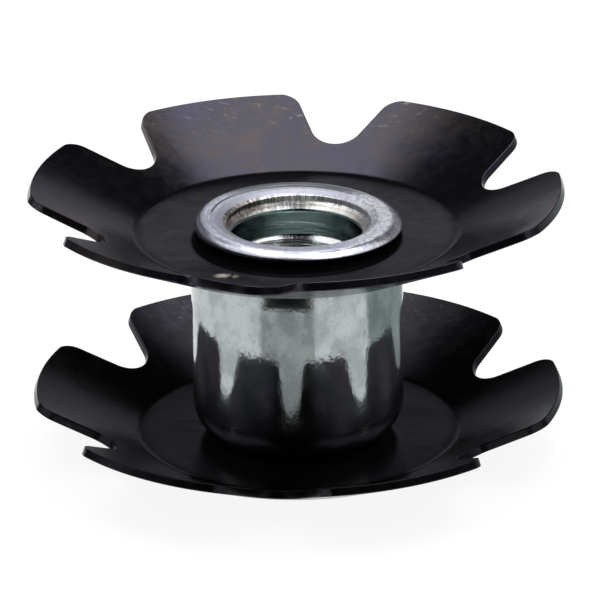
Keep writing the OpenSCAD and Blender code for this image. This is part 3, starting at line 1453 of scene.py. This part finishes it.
        # The edge of the sheared skin is crisp, and a dome leads from it to the crown
        dome_x = rim_r - self.dome_w
        dome = [(dome_x + dome_r * math.sin(a), self.crown_z - dome_r * (1 - math.cos(a)))
                for a in np.linspace(slope, 0, 12)]
        points += fillet(points[-1], dome[0], dome[1], self.skin_r, 4) + dome[1:]
        points += [(dome_x + (crown[0] - dome_x) * share, self.crown_z) for share in (0.33, 0.66)]
        points += fillet(points[-1], crown, lip, self.bevel_r)
        points += fillet(crown, lip, wall_foot, self.lip_r)
        points += fillet(lip, wall_foot, mouth, self.wall_r)
        return points + [mouth]

    def rolled(self, radius: float, turn: float, height: float) -> np.ndarray:
        """Places a point of the outline, with the upper rim rolled unevenly and off centre.

        Args:
            radius: Its radius.
            turn: Its turn about the bore, in radians.
            height: Its height.

        Returns:
            The point.
        """
        point = np.array([radius * math.cos(turn), radius * math.sin(turn), height])
        above = height - self.star_top
        if above <= 0:
            return point
        high = math.radians(self.high_side)
        moved = min(above / self.shift_h, 1.0)
        moved = moved**2 * (3 - 2 * moved) * self.off_centre
        outer = min(max((2 * radius - self.neck_d) / (self.rim_d - self.neck_d), 0.0), 1.0)
        point[:2] -= moved * np.array([math.cos(high), math.sin(high)])
        point[2] += above * (self.looseness + self.unevenness * math.cos(turn - high)) * outer
        return point

    def thread_r(self, along: float) -> float:
        """Finds the radius of the thread's profile.

        Args:
            along: Place along the profile, in pitches, with the crest's middle at 0.

        Returns:
            The radius.
        """
        off = abs((along + 0.5) % 1.0 - 0.5)
        share = min(max((off - self.crest) / self.flank, 0.0), 1.0)
        return (self.bore_d + (self.thread_d - self.bore_d) * share) / 2

    def cut_thread(self, surface: Surface, turns: list[float], low_ring: list[int],
                   high_ring: list[int]) -> None:
        """Adds the thread, whose rows follow its helix and are held to a ring at each end.

        Args:
            surface: The barrel's surface.
            turns: Turn of each column about the bore, in radians.
            low_ring: Corners at the lower end.
            high_ring: Corners at the upper end.
        """
        steps = [self.flank * i / self.flank_rows for i in range(1, self.flank_rows + 1)]
        marks = [-self.crest, -self.crest / 2, 0.0, self.crest / 2, self.crest]
        marks += [self.crest + step for step in steps] + [0.5]
        marks += [1 - self.crest - self.flank + step for step in [0.0] + steps[:-1]]
        low_z, high_z = self.rows_depth, self.crown_z - self.rows_depth
        first, last = math.floor(low_z / self.pitch) - 2, math.ceil(high_z / self.pitch) + 2
        rows = [number + mark for number in range(first, last) for mark in marks]
        grid: list[list[int]] = []
        for turn, low, high in zip(turns, low_ring, high_ring):
            lift = self.pitch * (turn + math.radians(self.thread_start)) / (2 * math.pi)
            column = []
            for row in rows:
                z = row * self.pitch + lift
                if low_z < z < high_z:
                    radius = max(self.mouth_r(min(z, self.crown_z - z)), self.thread_r(row))
                    point = np.array([radius * math.cos(turn), radius * math.sin(turn), z])
                    column.append(surface.add(point))
                else:
                    column.append(low if z <= low_z else high)
            grid.append(column)
        # Once round the bore, the first column comes back a pitch further along
        grid.append([grid[0][min(k + len(marks), len(rows) - 1)] for k in range(len(rows))])
        for here, there in zip(grid, grid[1:]):
            surface.bridge(here, there)

    def build(self) -> bpy.types.Object:
        """Builds the whole barrel as one closed surface.

        Returns:
            The piece.
        """
        surface = Surface()
        upper = self.half_section()
        lower = [(radius, max(self.crown_z - height, 0.0)) for radius, height in upper[:0:-1]]
        turns = [2 * math.pi * i / self.segments for i in range(self.segments)]
        rings = [[surface.add(self.rolled(radius, turn, height)) for turn in turns]
                 for radius, height in lower + upper]
        for below, above in zip(rings, rings[1:]):
            surface.bridge(below, above, closed=True)
        self.cut_thread(surface, turns, rings[0], rings[-1])
        return surface.to_object(Node.THREADED_BARREL.value + "_body")

    def zones(self) -> BarrelZones:
        """Tells the finish where the parts of the surface lie.

        Returns:
            The zones.
        """
        root_margin, lip_margin = 0.07, 0.12
        return BarrelZones(
            bore_r=self.thread_d / 2 + root_margin,
            mouth_r=self.lip_d / 2 + lip_margin,
            roll_r=(self.rim_d - self.rim_h) / 2,
            middle_z=self.middle_z,
            rim_z=self.star_top - self.middle_z,
            thread_z=self.crown_z - self.middle_z - self.counterbore_end,
        )

    def make(self) -> bpy.types.Object:
        """Builds the barrel, dresses it and puts it in its solid's place.

        Returns:
            The piece.
        """
        piece = self.build()
        piece.data.materials.append(self.finish.material(self.zones()))
        return settle(piece, Node.THREADED_BARREL)


def settle(piece: bpy.types.Object, node: Node) -> bpy.types.Object:
    """Fixes a piece to the nut in place of its solid.

    Args:
        piece: The piece.
        node: Solid that it stands for.

    Returns:
        The piece.
    """
    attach(piece, "root")
    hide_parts(node.value)
    return piece


# ---------------------------------------------------------------- the studio


def direction(azimuth: float, elevation: float) -> Vector:
    """Points towards a place round the nut.

    Args:
        azimuth: Direction in degrees: 0 is towards -Y, 90 towards +X.
        elevation: Angle above the floor, in degrees.

    Returns:
        The unit vector.
    """
    a, e = math.radians(azimuth), math.radians(elevation)
    return Vector((math.sin(a) * math.cos(e), -math.cos(a) * math.cos(e), math.sin(e)))


@dataclass
class Softbox:
    """A soft lamp that faces the nut.

    Attributes:
        name: Name of the lamp.
        azimuth: Direction that it stands in, in degrees.
        elevation: Angle above the floor, in degrees.
        distance: Distance from the nut, in metres.
        width: Its width, in metres.
        height: Its height, in metres.
        radiance: Brightness of its face, where 1 is white.
    """

    name: str
    azimuth: float
    elevation: float
    distance: float
    width: float
    height: float
    radiance: float

    def make(self, target: Vector) -> bpy.types.Object:
        """Makes the lamp.

        Args:
            target: Point that it faces.

        Returns:
            The lamp.
        """
        data = bpy.data.lights.new(self.name, "AREA")
        data.shape = "ELLIPSE"
        data.size, data.size_y = self.width, self.height
        data.energy = self.radiance * self.width * self.height * math.pi**2 / 4
        lamp = bpy.data.objects.new(self.name, data)
        back = direction(self.azimuth, self.elevation)
        lamp.location = target + back * self.distance
        lamp.rotation_euler = back.to_track_quat("Z", "Y").to_euler()
        lamp.visible_camera = False
        bpy.context.scene.collection.objects.link(lamp)
        return lamp


@dataclass
class Card:
    """A matt card that only reflections show, bent round the nut or laid on the floor.

    Attributes:
        name: Name of the card.
        azimuths: Directions of its two sides, in degrees.
        elevations: Angles of its lower and upper edge above the floor, in degrees.
        distance: Distance from the nut, in metres.
        shade: Its colour.
        reach: For a card on the floor, distances of its near and far edge from the bore, in metres.
        solid: Whether it also keeps the lamps' light off the nut.
        lift: How far it stays above the floor, in metres.
    """

    name: str
    azimuths: Range
    elevations: Range = (0.0, 0.0)
    distance: float = 0.8
    shade: Colour = (0.01, 0.01, 0.01, 1.0)
    reach: Range | None = None
    solid: bool = False
    lift: float = 0.0003

    def point(self, azimuth: float, rise: float, target: Vector) -> Vector:
        """Finds a point of the card.

        Args:
            azimuth: Its direction, in degrees.
            rise: How far it is from the lower or near edge to the other one, from 0 to 1.
            target: Middle of the nut.

        Returns:
            The point, in metres.
        """
        if self.reach is None:
            elevation = self.elevations[0] + (self.elevations[1] - self.elevations[0]) * rise
            point = target + direction(azimuth, elevation) * self.distance
        else:
            point = direction(azimuth, 0.0) * (self.reach[0] + (self.reach[1] - self.reach[0]) * rise)
        point.z = max(point.z, self.lift)
        return point

    def make(self, target: Vector) -> bpy.types.Object:
        """Makes the card.

        Args:
            target: Middle of the nut.

        Returns:
            The card.
        """
        surface = Surface()
        rows = [[surface.add(np.array(self.point(azimuth, rise, target)) / MM)
                 for azimuth in np.linspace(*self.azimuths, 25)] for rise in np.linspace(0, 1, 9)]
        for low, high in zip(rows, rows[1:]):
            surface.bridge(low, high)
        card = surface.to_object(self.name)
        made, tree = new_material(self.name + "_felt")
        graph = Graph(tree)
        graph.finish(graph.matt("felt", self.shade))
        card.data.materials.append(made)
        card.visible_camera = False
        card.visible_diffuse = False
        card.visible_transmission = False
        card.visible_shadow = self.solid
        return card


@dataclass
class Studio:
    """A pale floor, a white surround, soft lamps, and cards that only reflections show.

    Attributes:
        floor_size: Width of the floor, in metres.
        floor_steps: Faces along each side of the floor.
        floor_colour: Colour of the floor, for the light that it throws back.
        floor_shade: The share of its look that shadows darken.
        floor_glow: The share of its look that they don't, so that it meets the surround.
        surround: Brightness of the surround as a lamp.
        lamps: The soft lamps.
        cards: The cards.
    """

    floor_size: float = 3.0
    floor_steps: int = 12
    floor_colour: Colour = (0.80, 0.80, 0.80, 1.0)
    floor_shade: Colour = (0.18, 0.18, 0.18, 1.0)
    floor_glow: float = 0.90
    surround: float = 0.45
    lamps: tuple[Softbox, ...] = (
        Softbox("overhead_softbox", 158.0, 85.5, 0.45, 0.50, 0.50, 2.3),
    )
    cards: tuple[Card, ...] = (
        Card("rear_flag", (147.0, 235.0), (22.0, 53.0)),
        Card("right_flag", (95.0, 147.0), (16.0, 33.0)),
        Card("left_flag", (235.0, 265.0), (16.0, 33.0)),
        Card("rear_sweep", (80.0, 203.0), (-0.4, 22.5), shade=(0.68, 0.67, 0.75, 1.0)),
        Card("left_sweep", (203.0, 280.0), (-0.4, 22.5), shade=(0.40, 0.39, 0.44, 1.0)),
        Card("camera_rig", (-31.0, 38.0), (33.0, 79.0), 0.3, solid=True),
        Card("front_flag", (-95.0, 95.0), (16.0, 36.0)),
        Card("camera_flag", (-25.0, 27.0), (-1.1, 19.0), 0.3),
        # floor_card is a grey sheet that stands for the camera's shadow on the floor in front
        Card("floor_card", (-25.0, 27.0), reach=(0.0125, 0.028), shade=(0.70, 0.70, 0.70, 1.0)),
        Card("floor_flag", (-25.0, 27.0), reach=(0.028, 0.3)),
        Card("right_card", (85.0, 160.0), reach=(0.0125, 0.3), shade=(0.44, 0.50, 0.49, 1.0)),
    )

    def floor_paper(self) -> bpy.types.Material:
        """Makes the floor's paper, which looks whiter than the light that it throws back.

        Returns:
            The material.
        """
        made, tree = new_material("floor_paper")
        graph = Graph(tree)
        paper = graph.matt("paper", self.floor_colour)
        shaded = graph.matt("paper as seen", self.floor_shade)
        glow = graph.node("Emission", "white of the surround")
        glow.inputs["Strength"].default_value = self.floor_glow
        seen_paper = graph.node("AddShader")
        graph.join(shaded, seen_paper.inputs[0])
        graph.join(glow.outputs[0], seen_paper.inputs[1])
        both = graph.node("MixShader")
        for source, target in zip((graph.seen(), paper, seen_paper.outputs[0]), both.inputs):
            graph.join(source, target)
        graph.finish(both.outputs[0])
        return made

    def make_floor(self) -> bpy.types.Object:
        """Makes the floor.

        Returns:
            The floor.
        """
        surface = Surface()
        places = (np.arange(self.floor_steps + 1) / self.floor_steps - 0.5) * self.floor_size / MM
        rows = [[surface.add(np.array([x, y, 0.0])) for x in places] for y in places]
        for near, far in zip(rows, rows[1:]):
            surface.bridge(near, far)
        floor = surface.to_object("floor")
        floor.data.materials.append(self.floor_paper())
        return floor

    def make_surround(self) -> bpy.types.World:
        """Makes the white surround, which lights the nut less brightly than it looks.

        Returns:
            The world.
        """
        world = bpy.data.worlds.new("surround")
        world.use_nodes = True
        world.cycles.sampling_method = "NONE"
        bpy.context.scene.world = world
        graph = Graph(world.node_tree)
        strength = graph.maths("ADD", self.surround, graph.product(graph.seen(), 1.0 - self.surround))
        white = graph.node("Background", "white")
        white.inputs["Color"].default_value = WHITE
        graph.join(strength, white.inputs["Strength"])
        graph.finish(white.outputs[0], "OutputWorld")
        return world

    def make(self, target: Vector) -> list[bpy.types.Object]:
        """Makes the whole studio.

        Args:
            target: Point that the lamps face.

        Returns:
            The floor, the lamps and the cards.
        """
        self.make_surround()
        return [self.make_floor()] + [part.make(target) for part in self.lamps + self.cards]


@dataclass
class ProductCamera:
    """A long lens that looks down on the nut from the front.

    Attributes:
        azimuth: Direction that it stands in, in degrees.
        elevation: Angle above the floor, in degrees.
        roll: Turn about its own axis, in degrees.
        distance: Distance from its target, in millimetres.
        target: Point that it looks at before it is turned by its azimuth, in millimetres.
        lens: Focal length, in millimetres.
        sensor: Width of the sensor, in millimetres.
        clip: Nearest and furthest distance that it sees, in metres.
    """

    azimuth: float = 11.17
    elevation: float = 22.14
    roll: float = -0.69
    distance: float = 228.9
    target: Point = (0.128, 0.0, 7.397)
    lens: float = 293.85
    sensor: float = 36.0
    clip: Range = (0.01, 20.0)

    def make(self) -> bpy.types.Object:
        """Makes the camera and gives it to the scene.

        Returns:
            The camera.
        """
        data = bpy.data.cameras.new("product_camera")
        data.sensor_width = self.sensor
        data.lens = self.lens
        data.clip_start, data.clip_end = self.clip
        camera = bpy.data.objects.new("product_camera", data)
        turn = Matrix.Rotation(math.radians(self.azimuth), 3, "Z")
        back = direction(self.azimuth, self.elevation)
        right = turn @ Vector((1.0, 0.0, 0.0))
        up = back.cross(right)
        roll = math.radians(self.roll)
        rolled_right = right * math.cos(roll) + up * math.sin(roll)
        rolled_up = up * math.cos(roll) - right * math.sin(roll)
        place = (turn @ Vector(self.target) + back * self.distance) * MM
        axes = Matrix((rolled_right, rolled_up, back)).transposed()
        camera.matrix_world = Matrix.Translation(place) @ axes.to_4x4()
        bpy.context.scene.collection.objects.link(camera)
        bpy.context.scene.camera = camera
        return camera


def main() -> None:
    """Builds the camera, the studio and the nut, and reports each piece."""
    logging.basicConfig(level=logging.INFO, format="%(name)s: %(message)s")
    bpy.context.scene.view_settings.view_transform = "Standard"
    LOG.info("camera: %s", ProductCamera().make().name)
    nut_middle = Vector((0.0, 0.0, 0.006))
    for part in Studio().make(nut_middle):
        LOG.info("studio: %s", part.name)

    lower_z, upper_z, lower_turn = 0.6, 10.55, 5.2
    upper_finish = BlackSpringSteel("black_spring_steel_upper", worn=(-1.22, -6.28, 10.95))
    # The lower star's copy of the black steel is blacker and shines less: painted shade beneath the upper
    # star
    lower_finish = BlackSpringSteel("black_spring_steel_lower", black=(0.012, 0.0115, 0.015, 1.0),
                                    flat_black=(0.044, 0.042, 0.051, 1.0), tint=0.2, scuffs=0.2,
                                    painted_shade=0.0, edge_shine=0.86)
    for piece in (
        ThreadedBarrel(),
        SpringStar(Node.UPPER_STAR, upper_z, 0.0, upper_finish),
        SpringStar(Node.LOWER_STAR, lower_z, lower_turn, lower_finish),
    ):
        made = piece.make()
        LOG.info("piece: %s, %d faces", made.name, len(made.data.polygons))


if __name__ == "__main__":
    main()
